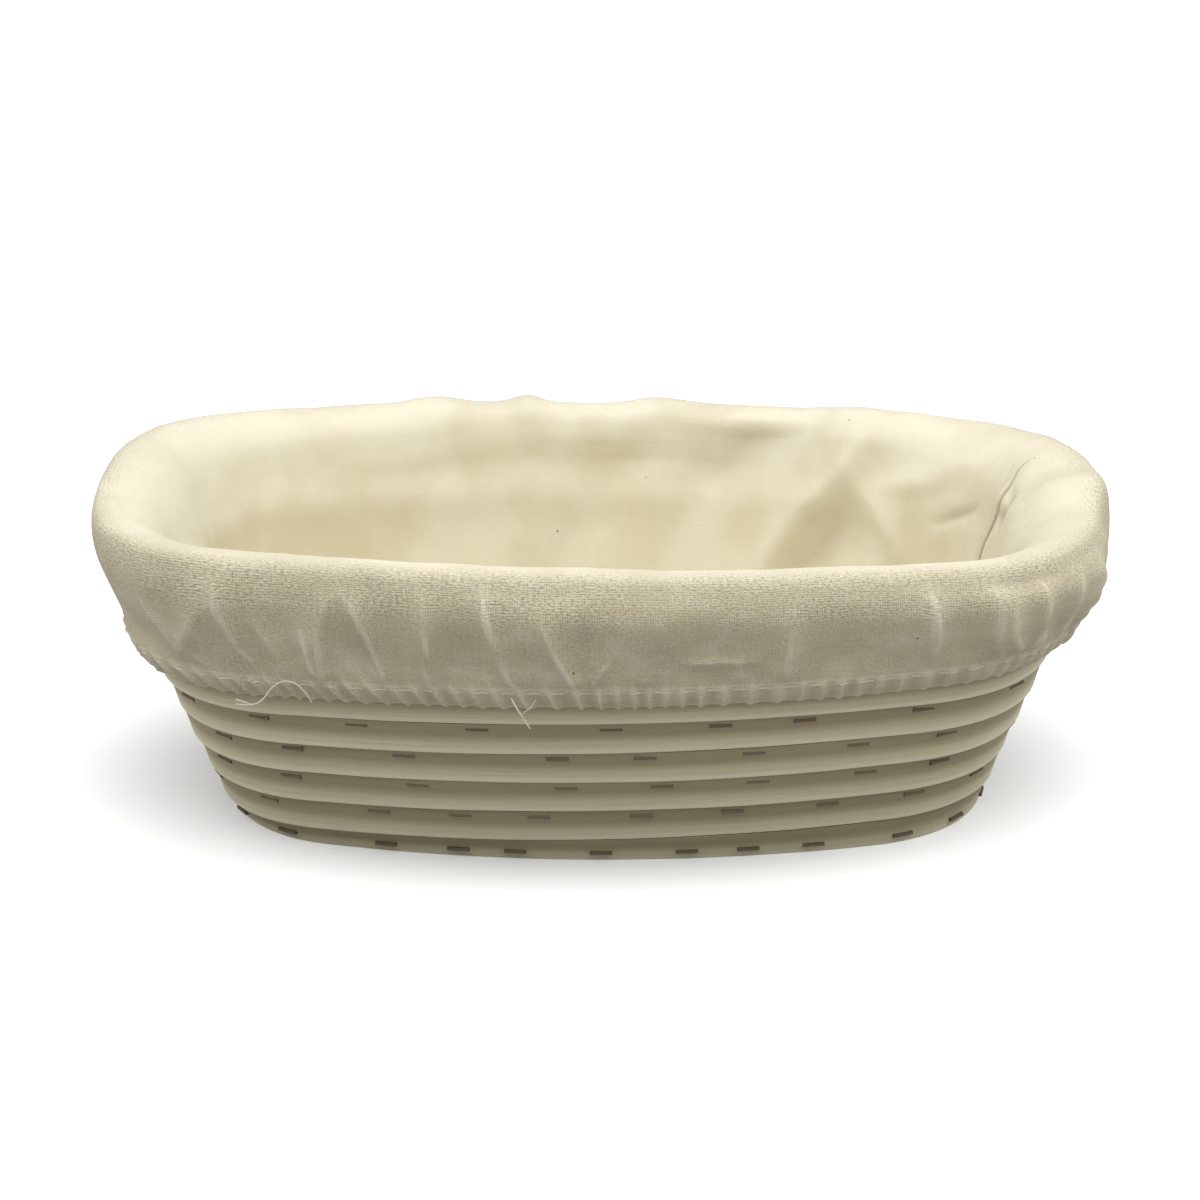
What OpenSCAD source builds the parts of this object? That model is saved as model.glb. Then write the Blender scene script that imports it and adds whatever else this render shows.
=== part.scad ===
// Oval bread proofing basket: rattan cane wound in a spiral floor and a flaring wall, held with wire staples,
// with a lift-out cotton liner drawn over the rim and gathered below it on an elastic.
// Millimetres. Origin under the middle of the basket, X along it, the front at -Y, Z up.

/* [Oval] */
// Length of the cane rim, in the middle of the top course
rim_length = 250; // [240:1:262]
// Width of the cane rim, in the middle of the top course
rim_width = 151; // [145:1:158]
// How far the long sides bow out between the round ends
side_bow = 8; // [6:0.5:10]
// How much fuller the corners of the oval are at the rim
corner_fullness = 6.5; // [0:0.5:7]

/* [Cane] */
// Thickness of the cane, from the outer face to the inner face
cane_t = 8; // [7:0.25:9]
// Rise of the winding in one turn
course_rise = 8.85; // [8:0.05:10]
// How far each course stands out past the one below
course_step = 3.46; // [2.5:0.02:4]
// Gap between neighbouring courses
course_gap = 0.45; // [0.42:0.01:0.6]
// Height of the floor's cane
floor_cane_h = 6.5; // [5.5:0.25:7]
// Turn at which the upper length of cane takes over from the lower one
joint_turn = 4.3; // [3.2:0.1:5.4]
// Turn at which the tail of the cane starts to thin out
tail_turn = 9.6; // [9.5:0.02:9.66]
// Share of a turn that the tail takes to thin out
tail_share = 0.3; // [0.2:0.02:0.32]

/* [Staples] */
// Length of a staple's crown
staple_crown = 5.5; // [4.5:0.25:6.5]
// Thickness of the staple wire
staple_wire = 0.8; // [0.6:0.05:0.9]
// Length of the legs of a wall staple
staple_leg = 8; // [6:0.5:9]
// Angle at which wall staples are driven upwards
staple_angle = 60; // [55:1:65]
// Distance between staples along a course
staple_pitch = 27; // [22:1:36]

/* [Liner] */
// Thickness of the cloth
cloth_t = 0.8; // [0.6:0.1:1]
// Clearance of the cloth from the cane
cloth_clear = 0.3; // [0.25:0.05:0.5]
// Height of the hem's lower edge at the middle of the front
hem_z = 49; // [42:0.5:54]
// How much higher the hem is at the right end than in the middle
hem_tilt = 3.5; // [0:0.25:4.5]
// Height of the casing in the hem
casing_h = 5; // [4:0.25:7]
// Thickness of the pocket for the elastic
casing_room = 1.6; // [1.4:0.1:2.2]
// How far the skirt swells out between the rim and the hem
skirt_swell = 3; // [1:0.25:4]
// Depth of the skirt's folds
fold_depth = 1.6; // [0.4:0.1:1.8]
// Number of main folds round the skirt
fold_count = 22; // [16:1:22]
// Width of the elastic
elastic_w = 3; // [2:0.25:3.25]
// Thickness of the elastic
elastic_t = 0.9; // [0.6:0.1:1]
// Length of one stitch of the hem
stitch_len = 3; // [2:0.25:3.5]
// Thickness of the sewing thread
thread_t = 0.5; // [0.4:0.05:0.6]
// Number of stitches round the hem
stitch_count = 96; // [72:4:110]
// Direction of the side seam, in degrees round from the right end
side_seam_angle = 35; // [20:1:70]
// Width of the side seam's folded allowance
seam_w = 5; // [4:0.5:7]

/* [Hidden] */
FIRST_STAPLED = 1;
LAST_STAPLED = 8;
WALL_NAMES = [for (course = [FIRST_STAPLED : LAST_STAPLED]) str("wall_staples_", course - FIRST_STAPLED + 1)];

CANE = [0.87, 0.76, 0.60];
CANE_CORE = [0.84, 0.73, 0.57];
WIRE = [0.30, 0.29, 0.28];
COTTON = [0.90, 0.87, 0.80];
THREAD = [0.95, 0.94, 0.91];
ELASTIC = [0.93, 0.93, 0.92];

// Counts that set how finely the winding and the cloth are drawn
rings_per_turn = 33;
base_rings_per_turn = 26;
liner_columns = 56;
fold_columns = 4;

// Turn at which the top course starts, and turns from the bottom edge to the middle of that course
rim_turn = 9;
rim_climb = rim_turn - 0.5;

// Core of the oval: two shallow arcs that meet at the centres of the round ends
end_centre = (rim_length - rim_width) / 2 + side_bow;
bottom_offset = rim_width / 2 - side_bow - course_step * rim_climb;
side_angle = 2 * atan(side_bow / end_centre);
side_radius = end_centre / sin(side_angle);

// Share of a turn along one long side and along half of a round end, taken half way up the wall
mid_offset = bottom_offset + course_step * rim_turn / 2;
side_len = 2 * (side_radius + mid_offset) * side_angle * PI / 180;
half_end_len = mid_offset * (90 - side_angle) * PI / 180;
turn_len = 2 * side_len + 4 * half_end_len;
side_share = side_len / turn_len;
end_share = half_end_len / turn_len;
TURN_ANGLES = [
    [0, 0],
    [end_share, 90 - side_angle],
    [end_share + side_share, 90 + side_angle],
    [3 * end_share + side_share, 270 - side_angle],
    [3 * end_share + 2 * side_share, 270 + side_angle],
    [1, 360]];
ANGLE_TURNS = [for (pair = TURN_ANGLES) [pair[1], pair[0]]];

// The winding runs from the floor's middle through turn 0, where the wall starts, to the end of the tail
flat_pitch = cane_t + course_gap;
tail_end = tail_turn + tail_share;
feather_h = 0.6;
wall_start = 0.09;
sliver_w = 0.8;
base_start = 1 - (bottom_offset - course_gap - sliver_w) / flat_pitch;
base_end = 0.1;
floor_z = 1;
floor_top = floor_z + floor_cane_h;
joint_gap = 0.004;

// Height of the rim against the share of a turn from the right end
RIM_HEIGHTS = [
    [0, rim_turn * course_rise - course_gap],
    [tail_turn - rim_turn, tail_turn * course_rise - course_gap],
    [tail_end - rim_turn, (tail_end - 1) * course_rise + feather_h],
    [1, rim_turn * course_rise - course_gap]];

liner_floor_z = floor_top + cloth_clear;
liner_floor_top = liner_floor_z + cloth_t;
edge_drop = 2;
cloth_joint = 0.1;
seam_t = 0.9;
seam_clear = 0.3;
// Room for the flats between the cloth's columns
flat_ease = 0.6;

// Places of the staples that show on the front, from the middle of the front, one list for each course
FRONT_STAPLES = [
    [-81, -54, -34, -15, 10, 32, 55],
    [-75, -44, -8, 15, 38, 64],
    [-74, -47, -10, 11, 37, 62],
    [-81, -58, -29, 3, 29, 49]];
EDGE_STAPLES = [-78, -53, -35, -21, 0, 21, 36, 52, 74];

// Angle of the outline's normal after so many turns, and the share of a turn at an angle
function normal_angle(turn) = 360 * floor(turn) + lookup(turn - floor(turn), TURN_ANGLES);
function turn_share(angle) = lookup(angle, ANGLE_TURNS);

// Point of the oval's core that faces an angle
function core_point(angle) =
    abs(sin(angle)) > cos(side_angle)
    ? side_radius * [cos(angle), sin(angle) - sign(sin(angle)) * cos(side_angle)]
    : [sign(cos(angle)) * end_centre, 0];

// Point at an offset from the core, with the corners filled out
function oval_point(angle, offset, fullness = 0) =
    core_point(angle) + (offset + fullness * pow(sin(2 * angle), 2)) * [cos(angle), sin(angle)];
function place(angle, offset, fullness, z) =
    let (flat = oval_point(angle, offset, fullness)) [flat[0], flat[1], z];

// Outer offset, corner fullness, lower edge and top of the winding
function outer_offset(turn) =
    turn < 0 ? bottom_offset - flat_pitch * (1 - turn)
    : turn < 1 ? bottom_offset - flat_pitch * pow(1 - turn, 2)
    : bottom_offset + course_step * (turn - 1);
function fullness(turn) = corner_fullness * max(0, turn - 1) / rim_climb;
function tail_part(turn) = max(0, (turn - tail_turn) / tail_share);
function lower_edge(turn) = max(0, course_rise * (turn - 1));
function top_edge(turn) =
    turn <= tail_turn
    ? course_rise * turn - course_gap
    : lookup(turn - rim_turn, RIM_HEIGHTS);

// Cloth offsets inside and outside the wall, at a height
function inside_offset(z) = outer_offset(z / course_rise) - cane_t - cloth_clear;
function outside_offset(z) = outer_offset(z / course_rise + 1) + cloth_clear;
function inside_fullness(z) = fullness(z / course_rise);
function outside_fullness(z) = fullness(z / course_rise + 1);
function rim_outside(top) = outer_offset(top / course_rise) + cloth_clear + flat_ease;

// Outline of the cane: outward from its lower edge, and share of the height
// The courses lean out along the wall's slope, and the rim's course stands upright
face_swell = 0.2;
face_lean = 1.3;
top_setback = 1.2;
top_lean = 2.9;
inner_top_setback = 1.6;
inner_low_setback = 1.4;
function lean(turn, upright, leaning) = upright + (leaning - upright) * min(1, max(0, rim_turn - turn));
function face_offset(turn, share) =
    lookup(share, [[0, 0], [0.5, lean(turn, face_swell, face_lean)], [1, lean(turn, -top_setback, top_lean)]]);
function cane_section(turn) = [
    [0, 0],
    [face_offset(turn, 0.5), 0.5],
    [face_offset(turn, 1), 1],
    [inner_top_setback - cane_t, 1],
    [-cane_t, 0.5],
    [inner_low_setback - cane_t, 0]];

function wall_ring(turn) =
    let (
        low = lower_edge(turn),
        high = top_edge(turn),
        offset = outer_offset(turn) - course_step * tail_part(turn))
    [for (point = cane_section(turn))
        place(normal_angle(turn), offset + point[0], fullness(turn), low + point[1] * (high - low))];

// The floor's cane starts as a sliver against the core, widens over its first turn and ends inside the wall
function base_ring(turn) =
    let (
        outer = min(outer_offset(turn), outer_offset(turn + 1) - flat_pitch),
        inner = max(course_gap, outer_offset(turn - 1) + course_gap),
        edge = min(top_setback, (outer - inner) / 4))
    [for (point = [
            [outer - edge, 0], [outer, 0.5], [outer - edge, 1],
            [inner + edge, 1], [inner, 0.5], [inner + edge, 0]])
        place(normal_angle(turn), point[0], 0, floor_z + point[1] * floor_cane_h)];

function ring_turns(start, end, per_turn) =
    let (count = ceil((end - start) * per_turn))
    [for (i = [0 : count]) start + (end - start) * i / count];

LOWER_RINGS = [for (turn = ring_turns(wall_start, joint_turn - joint_gap, rings_per_turn)) wall_ring(turn)];
UPPER_RINGS = [for (turn = ring_turns(joint_turn, tail_end, rings_per_turn)) wall_ring(turn)];
BASE_RINGS = [for (turn = ring_turns(base_start, base_end, base_rings_per_turn)) base_ring(turn)];

// Least gap of each winding to itself, from its own points one turn apart
function highest(ring) = max([for (point = ring) point[2]]);
function lowest(ring) = min([for (point = ring) point[2]]);
function course_gaps(start, end) =
    [for (turn = ring_turns(start, end - 1, rings_per_turn))
        lowest(wall_ring(turn + 1)) - highest(wall_ring(turn))];
function nearest(ring, other) = min([for (a = ring, b = other) norm(a - b)]);
function spiral_gaps() =
    [for (turn = ring_turns(base_start, base_end - 1, base_rings_per_turn))
        nearest(base_ring(turn), base_ring(turn + 1))];
echo(lower_wall_least_gap = min(course_gaps(wall_start, joint_turn - joint_gap)));
echo(upper_wall_least_gap = min(course_gaps(joint_turn, tail_end)));
echo(base_least_gap = min(spiral_gaps()));

// Faces between neighbouring rings, open with two end caps or joined round
function band_faces(count, sides, closed) =
    [for (i = [0 : closed ? count - 1 : count - 2], j = [0 : sides - 1])
        let (
            here = i * sides,
            next = ((i + 1) % count) * sides,
            k = (j + 1) % sides)
        each [[here + j, here + k, next + k], [here + j, next + k, next + j]]];
function cap_faces(count, sides) =
    let (last = (count - 1) * sides)
    [for (j = [1 : sides - 2]) each [[0, j + 1, j], [last, last + j, last + j + 1]]];

module skin(rings, closed) {
    sides = len(rings[0]);
    faces = band_faces(len(rings), sides, closed);
    polyhedron([for (ring = rings) each ring], closed ? faces : concat(faces, cap_faces(len(rings), sides)));
}

// Flat outline of the oval at an offset
module oval_2d(offset) {
    polygon([for (i = [0 : liner_columns - 1]) oval_point(normal_angle(i / liner_columns), offset)]);
}

module base_core() {
    reach = side_radius * cos(side_angle);
    color(CANE_CORE) translate([0, 0, floor_z]) intersection() {
        translate([0, -reach, 0]) cylinder(h = floor_cane_h, r = side_radius, $fn = 720);
        translate([0, reach, 0]) cylinder(h = floor_cane_h, r = side_radius, $fn = 720);
    }
}

module base_coil() {
    color(CANE) skin(BASE_RINGS, false);
}

module lower_wall_coil() {
    color(CANE) skin(LOWER_RINGS, false);
}

module upper_wall_coil() {
    color(CANE) skin(UPPER_RINGS, false);
}

// Staple with its crown along X and its legs along Y, lying in the XY plane
module staple(leg) {
    translate([0, 0, -staple_wire / 2]) linear_extrude(staple_wire) difference() {
        translate([-staple_crown / 2, 0]) square([staple_crown, leg]);
        translate([staple_wire - staple_crown / 2, staple_wire])
            square([staple_crown - 2 * staple_wire, leg]);
    }
}

// Staple driven into the outside of a course, at a height and an angle upwards
module driven_staple(angle, offset, full, z, leg, upwards) {
    translate(place(angle, offset, full, z)) rotate([0, 0, angle + 90]) rotate([upwards, 0, 0]) staple(leg);
}

// Angle of the outline's normal at a place on the front
function front_angle(x, offset) =
    let (reach = (side_radius + offset) * sin(side_angle))
    abs(x) < reach
    ? 270 + asin(x / (side_radius + offset))
    : 270 + sign(x) * (90 - acos((abs(x) - end_centre) / offset));

// Angles of the staples in one course: those that show on the front, and an even row over the rest
function staple_angles(front, course, offset) =
    let (
        first = front_angle(max(front), offset),
        last = front_angle(min(front), offset),
        start = turn_share(first),
        room = 1 + turn_share(last) - start,
        count = round(room * turn_len / staple_pitch))
    concat(
        [for (x = front) front_angle(x, offset)],
        [for (i = [1 : count - 1]) normal_angle(start + room * (i + 0.2 * sin(137 * i + 61 * course)) / count)]);

staple_stand = 0.1;
staple_below = 1.7;
staple_cover = 1;
// Room between two staples where one row runs into the next
staple_clear = 2;

// One row of staples through the top edge of a course into the course above it
module wall_staple_row(course) {
    front = FRONT_STAPLES[(course - FIRST_STAPLED) % len(FRONT_STAPLES)];
    color(WIRE) for (angle = staple_angles(front, course, outer_offset(course + 0.75))) {
        share = turn_share(angle % 360);
        turn = course + share;
        low = top_edge(turn) - staple_below;
        face = face_offset(turn, 1 - staple_below / (top_edge(turn) - lower_edge(turn)));
        room = (top_edge(turn + 1) - staple_cover - low) / sin(staple_angle);
        if (share * turn_len > staple_crown + staple_clear && turn + 1 < tail_end - tail_share / 8)
            driven_staple(angle, outer_offset(turn) + face + staple_stand, fullness(turn),
                low, min(staple_leg, room), staple_angle);
    }
}

edge_leg = 13;
edge_share = 0.42;
edge_z = 2.4;

// Staples driven level through the lowest course into the floor's outer turn
module edge_staples() {
    color(WIRE) for (angle = staple_angles(EDGE_STAPLES, 1, outer_offset(0.75))) {
        share = turn_share(angle % 360);
        turn = share < edge_share ? 1 + share : share;
        lift = lower_edge(turn) + edge_z;
        face = face_offset(turn, edge_z / (top_edge(turn) - lower_edge(turn)));
        driven_staple(angle, outer_offset(turn) + face + staple_wire * 0.75, 0, lift, edge_leg, 0);
    }
}

base_staple_leg = 5;
base_staple_count = 13;

// Staples under the floor, each across the gap between two turns
module base_staples() {
    color(WIRE) for (i = [0 : base_staple_count - 1]) {
        turn = base_start + 0.9 + (base_end - 1 - base_start - 0.95) * i / (base_staple_count - 1);
        angle = normal_angle(turn);
        translate(place(angle, outer_offset(turn) + course_gap / 2, 0, floor_z - staple_wire * 0.75))
            rotate([0, 0, angle]) rotate([90, 0, 0]) staple(base_staple_leg);
    }
}

// Rim height above the cane, for the cloth, at a share of a turn
function crest_z(share) = lookup(share, RIM_HEIGHTS) + cloth_clear;
floor_offset = inside_offset(liner_floor_z);
crest_puff = 0.8;

module liner_floor() {
    color(COTTON) translate([0, 0, liner_floor_z]) linear_extrude(cloth_t) oval_2d(floor_offset);
}

// Section of the side panel: up the inside, over the rim and a little way down the outside
function liner_wall_section(share) =
    let (
        angle = normal_angle(share),
        top = crest_z(share),
        middle = (liner_floor_top + top) / 2,
        inner = inside_offset(top),
        outer = rim_outside(top),
        path = [
            [floor_offset, liner_floor_top, -1, 0],
            [inside_offset(middle), middle, -1, 0],
            [inner, top, -1, 0.7],
            [(inner + outer) / 2, top + crest_puff, 0, 1],
            [outer, top, 1, 0.7],
            [outer + cloth_t / 2, top - edge_drop, 1, 0]])
    [for (side = [0, 1], i = [0 : len(path) - 1])
        let (point = path[side == 0 ? i : len(path) - 1 - i])
        place(angle, point[0] + side * cloth_t * point[2],
            inside_fullness(point[1]), point[1] + side * cloth_t * point[3])];

module liner_wall() {
    color(COTTON) skin([for (i = [0 : liner_columns - 1]) liner_wall_section(i / liner_columns)], true);
}

// Height of the hem's lower edge, and offset of the cloth's inner face there
function hem_height(angle) = hem_z + hem_tilt * cos(angle);
function hem_offset(angle) = outside_offset(hem_height(angle) + casing_h);
hem_t = 2 * cloth_t + casing_room;

// Section of the skirt: down from the rim, swelling out in folds, to a hem turned up round the elastic
function skirt_section(share) =
    let (
        angle = normal_angle(share),
        rim = crest_z(share),
        top = rim - edge_drop - cloth_joint,
        low = hem_height(angle),
        band = low + casing_h,
        rim_inner = rim_outside(rim) + cloth_t / 2,
        hem_inner = hem_offset(angle),
        pocket_out = hem_inner + cloth_t + casing_room,
        fold = fold_depth * (1 + cos(360 * fold_count * share)) / 2,
        upper = top - (top - band) * 0.3,
        lower = top - (top - band) * 0.75,
        upper_inner = outside_offset(upper) + skirt_swell,
        lower_inner = pocket_out + skirt_swell * 0.5 + fold,
        points = [
            [hem_inner + hem_t, low],
            [hem_inner + hem_t, band],
            [lower_inner + cloth_t, lower],
            [upper_inner + cloth_t, upper],
            [rim_inner + cloth_t, top],
            [rim_inner, top],
            [upper_inner, upper],
            [lower_inner, lower],
            [pocket_out, band],
            [pocket_out, low + cloth_t],
            [hem_inner + cloth_t, low + cloth_t],
            [hem_inner + cloth_t, band],
            [hem_inner, band],
            [hem_inner, low]])
    [for (point = points) place(angle, point[0], outside_fullness(point[1]), point[1])];

module liner_skirt() {
    columns = fold_count * fold_columns;
    color(COTTON) skin([for (i = [0 : columns - 1]) skirt_section(i / columns)], true);
}

module floor_seam() {
    outer = floor_offset - cloth_t - seam_clear;
    color(THREAD) translate([0, 0, liner_floor_top]) linear_extrude(seam_t) difference() {
        oval_2d(outer);
        oval_2d(outer - seam_t);
    }
}

// Folded allowance up the inside of the side panel
seam_rows = 8;
function side_seam_ring(step) =
    let (
        top = crest_z(turn_share(side_seam_angle)) - cloth_t,
        low = liner_floor_top + seam_t + seam_clear,
        z = low + (top - low) * step / seam_rows,
        face = min(inside_offset(z), floor_offset + (inside_offset(top) - floor_offset) * step / seam_rows)
            - cloth_t - seam_clear,
        spread = seam_w / 2 / (face + inside_fullness(z)) * 180 / PI)
    [for (corner = [[spread, 0], [spread, 1], [-spread, 1], [-spread, 0]])
        place(side_seam_angle + corner[0], face - flat_ease - corner[1] * seam_t, inside_fullness(z), z)];

module side_seam() {
    color(COTTON) skin([for (step = [0 : seam_rows]) side_seam_ring(step)], false);
}

elastic_room = (casing_room - elastic_t) / 2;
function elastic_section(share) =
    let (
        angle = normal_angle(share),
        inner = hem_offset(angle) + cloth_t + elastic_room,
        low = hem_height(angle) + cloth_t + (casing_h - cloth_t - elastic_w) / 3)
    [for (corner = [[elastic_t, 0], [elastic_t, elastic_w], [0, elastic_w], [0, 0]])
        place(angle, inner + corner[0], outside_fullness(low + corner[1]), low + corner[1])];

module hem_elastic() {
    columns = fold_count * fold_columns;
    color(ELASTIC) skin([for (i = [0 : columns - 1]) elastic_section(i / columns)], true);
}

// Row of stitches that closes the casing, each pulled half into the cloth
module hem_stitching() {
    color(THREAD) for (i = [0 : stitch_count - 1]) {
        angle = normal_angle((i + 0.5) / stitch_count);
        z = hem_height(angle) + casing_h - thread_t;
        translate(place(angle, hem_offset(angle) + hem_t, outside_fullness(z), z)) rotate([0, 0, angle + 90])
            cube([stitch_len, thread_t, thread_t], center = true);
    }
}

base_core();
base_coil();
lower_wall_coil();
upper_wall_coil();
base_staples();
edge_staples();
for (row = [0 : len(WALL_NAMES) - 1])
    wall_staple_row(row + FIRST_STAPLED);
liner_floor();
liner_wall();
liner_skirt();
floor_seam();
side_seam();
hem_elastic();
hem_stitching();
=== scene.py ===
"""Looks of an oval bread proofing basket: wound rattan cane, wire staples and a gathered cotton liner.

Sizes are in millimetres, and a mesh is turned into metres when it is made. The oval and the cane repeat the
part's own values. The liner's values are near the part's.
"""
import math
import random

import bmesh
import bpy
import numpy as np
from mathutils import Matrix, Vector, noise


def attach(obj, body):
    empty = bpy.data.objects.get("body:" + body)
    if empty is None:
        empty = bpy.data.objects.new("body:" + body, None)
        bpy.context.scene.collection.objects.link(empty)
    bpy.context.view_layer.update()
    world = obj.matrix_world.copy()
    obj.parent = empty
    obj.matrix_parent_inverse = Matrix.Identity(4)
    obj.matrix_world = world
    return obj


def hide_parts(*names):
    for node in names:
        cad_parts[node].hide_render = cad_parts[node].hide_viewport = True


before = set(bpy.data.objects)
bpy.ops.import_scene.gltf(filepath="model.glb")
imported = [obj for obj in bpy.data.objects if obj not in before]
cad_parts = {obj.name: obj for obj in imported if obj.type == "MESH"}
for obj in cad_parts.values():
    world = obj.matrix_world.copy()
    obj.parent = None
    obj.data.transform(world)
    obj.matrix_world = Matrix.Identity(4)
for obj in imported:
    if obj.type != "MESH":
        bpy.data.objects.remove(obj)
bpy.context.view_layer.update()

MM = 0.001
TAU = 2 * math.pi

# Oval and cane
RIM_LENGTH = 250
RIM_WIDTH = 151
SIDE_BOW = 8
CORNER_FULLNESS = 6.5
CANE_T = 8
COURSE_RISE = 8.85
COURSE_STEP = 3.46
COURSE_GAP = 0.45
FLOOR_CANE_H = 6.5
FLOOR_Z = 1
JOINT_TURN = 4.3
JOINT_GAP = 0.004
TAIL_TURN = 9.6
TAIL_SHARE = 0.3
FEATHER_H = 0.6
RIM_TURN = 9
RIM_CLIMB = RIM_TURN - 0.5
WALL_START = 0.09
BASE_END = 0.1
SLIVER_W = 0.8

# Liner
CLOTH_T = 0.5
CLOTH_CLEAR = 0.3
RIM_EASE = 1.0
HEM_Z = 48.9
HEM_TILT = 2.2
HEM_ENDS = 0.9
CASING_H = 5.3
HEM_T = 3.2
SKIRT_SWELL = 2.6
FOLD_DEPTH = 1.0
FOLD_COUNT = 22
PLEAT_COUNT = 122
STITCH_COUNT = 96
STITCH_SHARE = 0.78
STITCH_T = 0.32
ELASTIC_W = 3
ELASTIC_T = 0.9
ELASTIC_RIBS = 260
SIDE_SEAM_ANGLE = math.radians(35)
SEAM_W = 5
SEAM_LENGTH = 78
FLOOR_SEAM_T = 0.9
FLOOR_SEAM_LENGTH = 440
FLOOR_SEAM_LOOPS = 150

# Oval worked out from the rim, as in the part
END_CENTRE = (RIM_LENGTH - RIM_WIDTH) / 2 + SIDE_BOW
BOTTOM_OFFSET = RIM_WIDTH / 2 - SIDE_BOW - COURSE_STEP * RIM_CLIMB
SIDE_ANGLE = 2 * math.atan(SIDE_BOW / END_CENTRE)
SIDE_RADIUS = END_CENTRE / math.sin(SIDE_ANGLE)
MID_OFFSET = BOTTOM_OFFSET + COURSE_STEP * RIM_TURN / 2
SIDE_LEN = 2 * (SIDE_RADIUS + MID_OFFSET) * SIDE_ANGLE
HALF_END_LEN = MID_OFFSET * (math.pi / 2 - SIDE_ANGLE)
TURN_LEN = 2 * SIDE_LEN + 4 * HALF_END_LEN
TURN_SHARES = np.cumsum([0, HALF_END_LEN, SIDE_LEN, 2 * HALF_END_LEN, SIDE_LEN, HALF_END_LEN]) / TURN_LEN
TURN_ANGLES = np.cumsum([0, math.pi / 2 - SIDE_ANGLE, 2 * SIDE_ANGLE, math.pi - 2 * SIDE_ANGLE,
                         2 * SIDE_ANGLE, math.pi / 2 - SIDE_ANGLE])
FLAT_PITCH = CANE_T + COURSE_GAP
TAIL_END = TAIL_TURN + TAIL_SHARE
BASE_START = 1 - (BOTTOM_OFFSET - COURSE_GAP - SLIVER_W) / FLAT_PITCH
FLOOR_TOP = FLOOR_Z + FLOOR_CANE_H
RIM_SHARES = [0, TAIL_TURN - RIM_TURN, TAIL_END - RIM_TURN, 1]
RIM_HEIGHTS = [RIM_TURN * COURSE_RISE - COURSE_GAP, TAIL_TURN * COURSE_RISE - COURSE_GAP,
               (TAIL_END - 1) * COURSE_RISE + FEATHER_H, RIM_TURN * COURSE_RISE - COURSE_GAP]


# The winding's formulas

def beside(*parts):
    """Arrays side by side, as the parts of points."""
    return np.stack(parts, axis=-1)


def unit(vectors):
    return vectors / np.linalg.norm(vectors, axis=1)[:, None]


def normal_angle(turn):
    """Angle of the outline's normal after so many turns from the right end."""
    whole = np.floor(turn)
    return TAU * whole + np.interp(turn - whole, TURN_SHARES, TURN_ANGLES)


def oval_points(angle, offset, fullness, z):
    """Points at an offset from the oval's core, with the corners filled out."""
    sine, cosine = np.sin(angle), np.cos(angle)
    on_side = np.abs(sine) > math.cos(SIDE_ANGLE)
    core_x = np.where(on_side, SIDE_RADIUS * cosine, np.sign(cosine) * END_CENTRE)
    core_y = np.where(on_side, SIDE_RADIUS * (sine - np.sign(sine) * math.cos(SIDE_ANGLE)), 0)
    reach = offset + fullness * np.sin(2 * angle) ** 2
    return beside(core_x + reach * cosine, core_y + reach * sine, z + 0 * angle)


def outer_offset(turn):
    short = FLAT_PITCH * np.where(turn < 0, 1 - turn, (1 - turn) ** 2)
    return BOTTOM_OFFSET + np.where(turn < 1, -short, COURSE_STEP * (turn - 1))


def corner_fullness(turn):
    return CORNER_FULLNESS * np.maximum(0, turn - 1) / RIM_CLIMB


def rim_height(share):
    return np.interp(share % 1, RIM_SHARES, RIM_HEIGHTS)


def inside_offset(z):
    return outer_offset(z / COURSE_RISE) - CANE_T - CLOTH_CLEAR


def outside_offset(z):
    return outer_offset(z / COURSE_RISE + 1) + CLOTH_CLEAR


def hem_height(angle):
    return HEM_Z + HEM_TILT * np.cos(angle) + HEM_ENDS * np.cos(2 * angle)


# Mesh making

def finish_mesh(shape, name, material, face_out=False):
    """Turn a bmesh in millimetres into an object in metres."""
    if face_out:
        bmesh.ops.recalc_face_normals(shape, faces=shape.faces)
    bmesh.ops.scale(shape, vec=(MM, MM, MM), verts=shape.verts)
    mesh = bpy.data.meshes.new(name)
    shape.to_mesh(mesh)
    shape.free()
    mesh.materials.append(material)
    piece = bpy.data.objects.new(name, mesh)
    bpy.context.collection.objects.link(piece)
    return piece


def bent_grid(columns, rows, place, fine_from=None, fine_part=(0, 0), flip=False, caps=False):
    """Flat grid bent by place(), which turns shares along and across into points, map places and painted
    light and shade.
    """
    shape = bmesh.new()
    bmesh.ops.create_grid(shape, x_segments=columns, y_segments=rows, size=0.5)
    if fine_from is not None:
        edge = fine_from - 0.5 - 0.1 / rows
        low, high = fine_part[0] - 0.5, fine_part[1] - 0.5
        fine = [line for line in shape.edges if all(corner.co.y > edge for corner in line.verts)
                or all(low < corner.co.x < high for corner in line.verts)]
        bmesh.ops.subdivide_edges(shape, edges=fine, cuts=1, use_grid_fill=True)
    shape.verts.ensure_lookup_table()
    flat = np.array([corner.co[:2] for corner in shape.verts]) + 0.5
    points, places, creases = place(flat[:, 0], flat[:, 1])
    map_layer = shape.loops.layers.uv.new("along")
    # Each vertex keeps the painted light that place() gives: a painted highlight above 0, painted shade
    # below 0
    painted_light_layer = shape.verts.layers.float.new("painted_light")
    shape.verts.index_update()
    for face in shape.faces:
        face.smooth = True
        for loop in face.loops:
            loop[map_layer].uv = places[loop.vert.index] * MM
    for corner, point, painted_light in zip(shape.verts, points, creases):
        corner.co = point
        corner[painted_light_layer] = painted_light
    bmesh.ops.remove_doubles(shape, verts=shape.verts, dist=0.001)
    if caps:
        rims = [line for line in shape.edges if line.is_boundary]
        bmesh.ops.holes_fill(shape, edges=rims, sides=0)
    if flip:
        bmesh.ops.reverse_faces(shape, faces=shape.faces)
    return shape


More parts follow.
